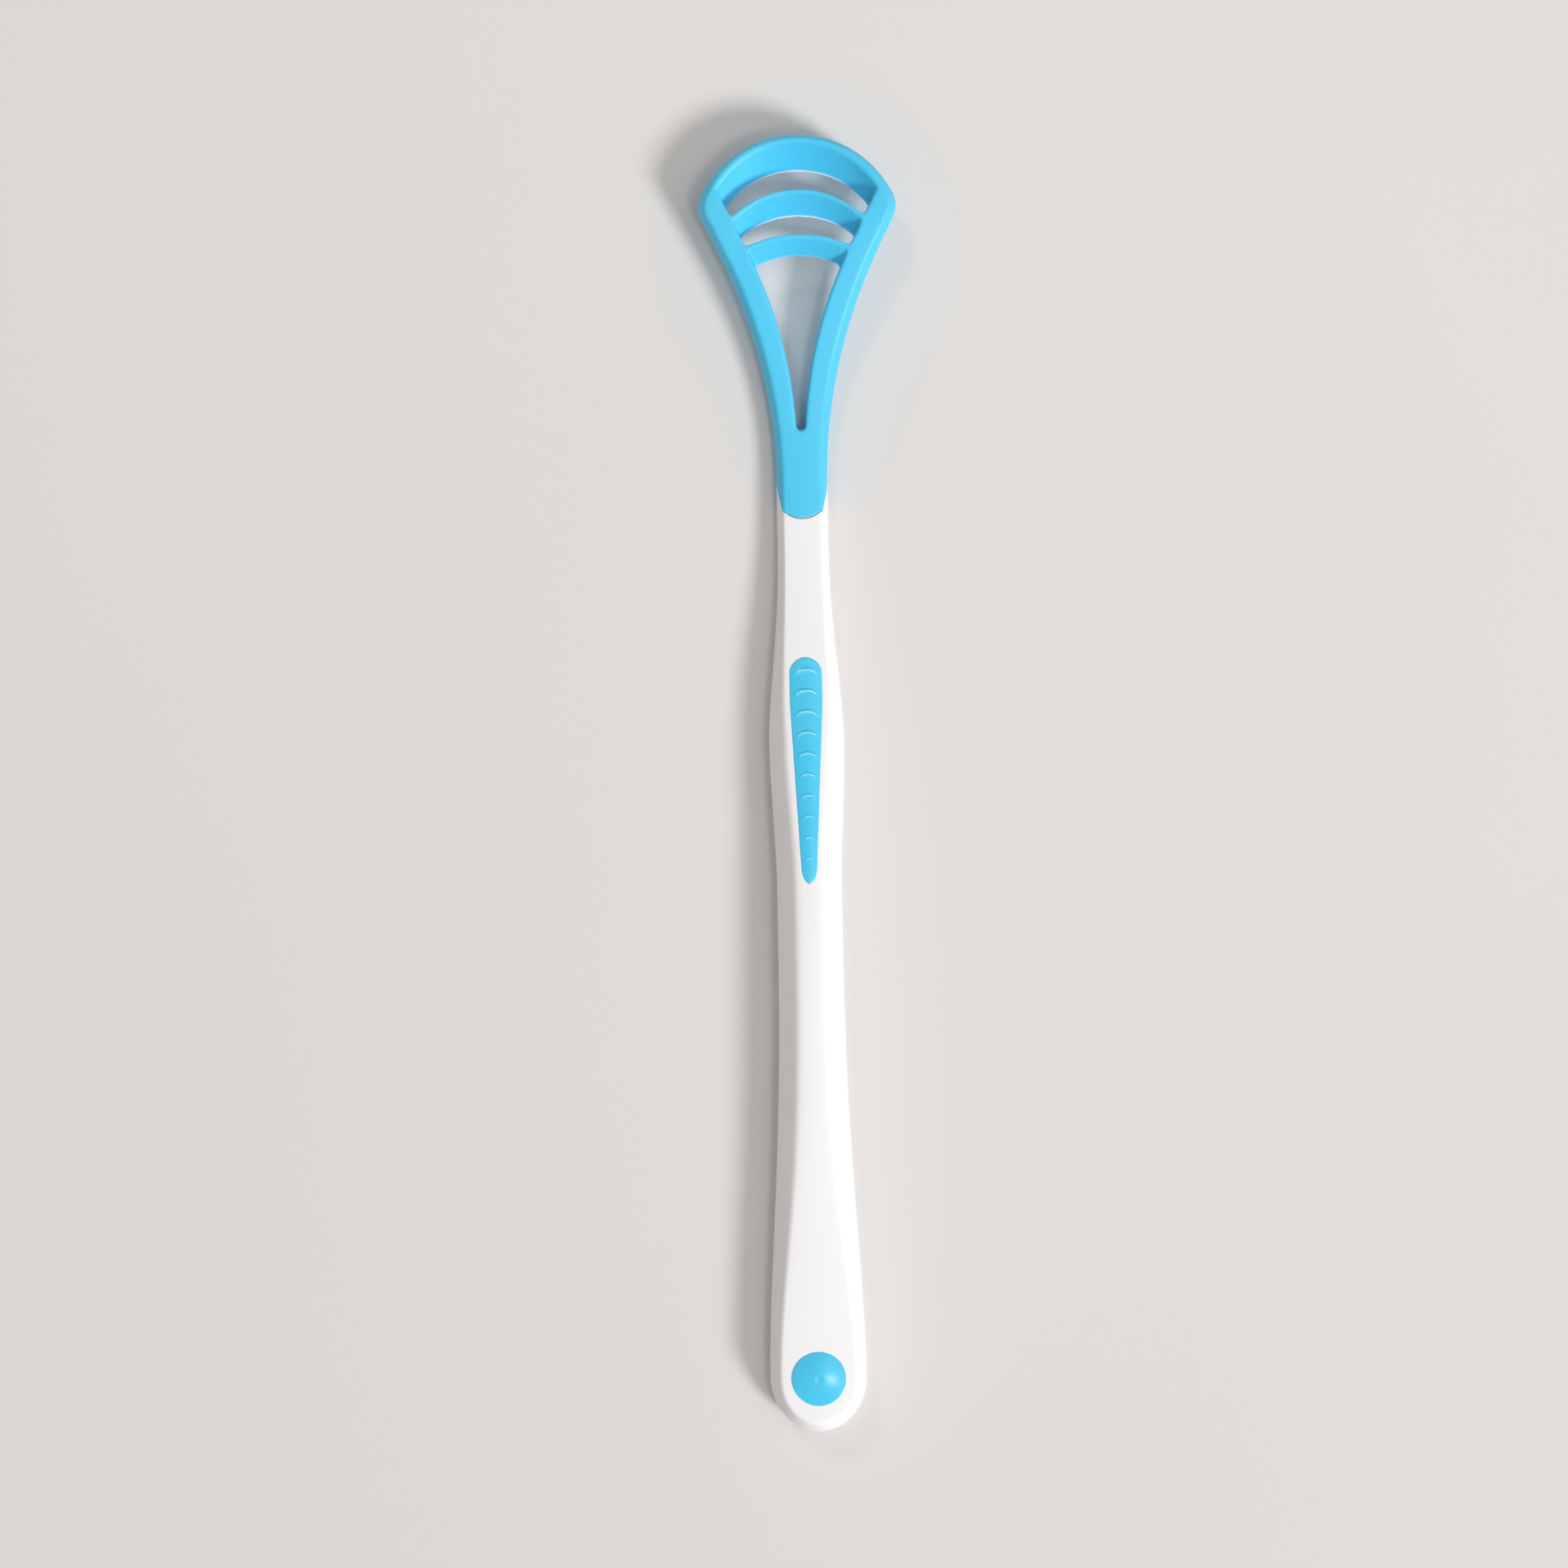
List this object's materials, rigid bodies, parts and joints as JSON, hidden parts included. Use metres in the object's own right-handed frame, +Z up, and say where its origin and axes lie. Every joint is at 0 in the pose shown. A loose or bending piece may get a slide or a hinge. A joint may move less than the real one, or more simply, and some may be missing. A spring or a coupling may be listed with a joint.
{
  "type": "tongue scraper",
  "caption": "Slim toothbrush-like tongue scraper: white waisted handle with blue grip pad and end dot, and a blue fan-shaped head with slanted arched blades.",
  "frame": {"origin": "on the table under the middle of the length, the scraper lying on its back", "axes": "+Y along the handle to the head, +Z up out of the thumb side, +X to the right seen from above with the head away"},
  "size_m": [0.0262, 0.172, 0.0078],
  "materials": {
    "white_plastic": "satin polypropylene, white",
    "blue_plastic": "satin plastic, light blue",
    "blue_rubber": "soft-touch elastomer, light blue"
  },
  "bodies": {
    "root": {"handle": "white_plastic", "scraper_head": "blue_plastic", "grip_pad": "blue_rubber", "end_dot": "blue_rubber"}
  },
  "joints": []
}
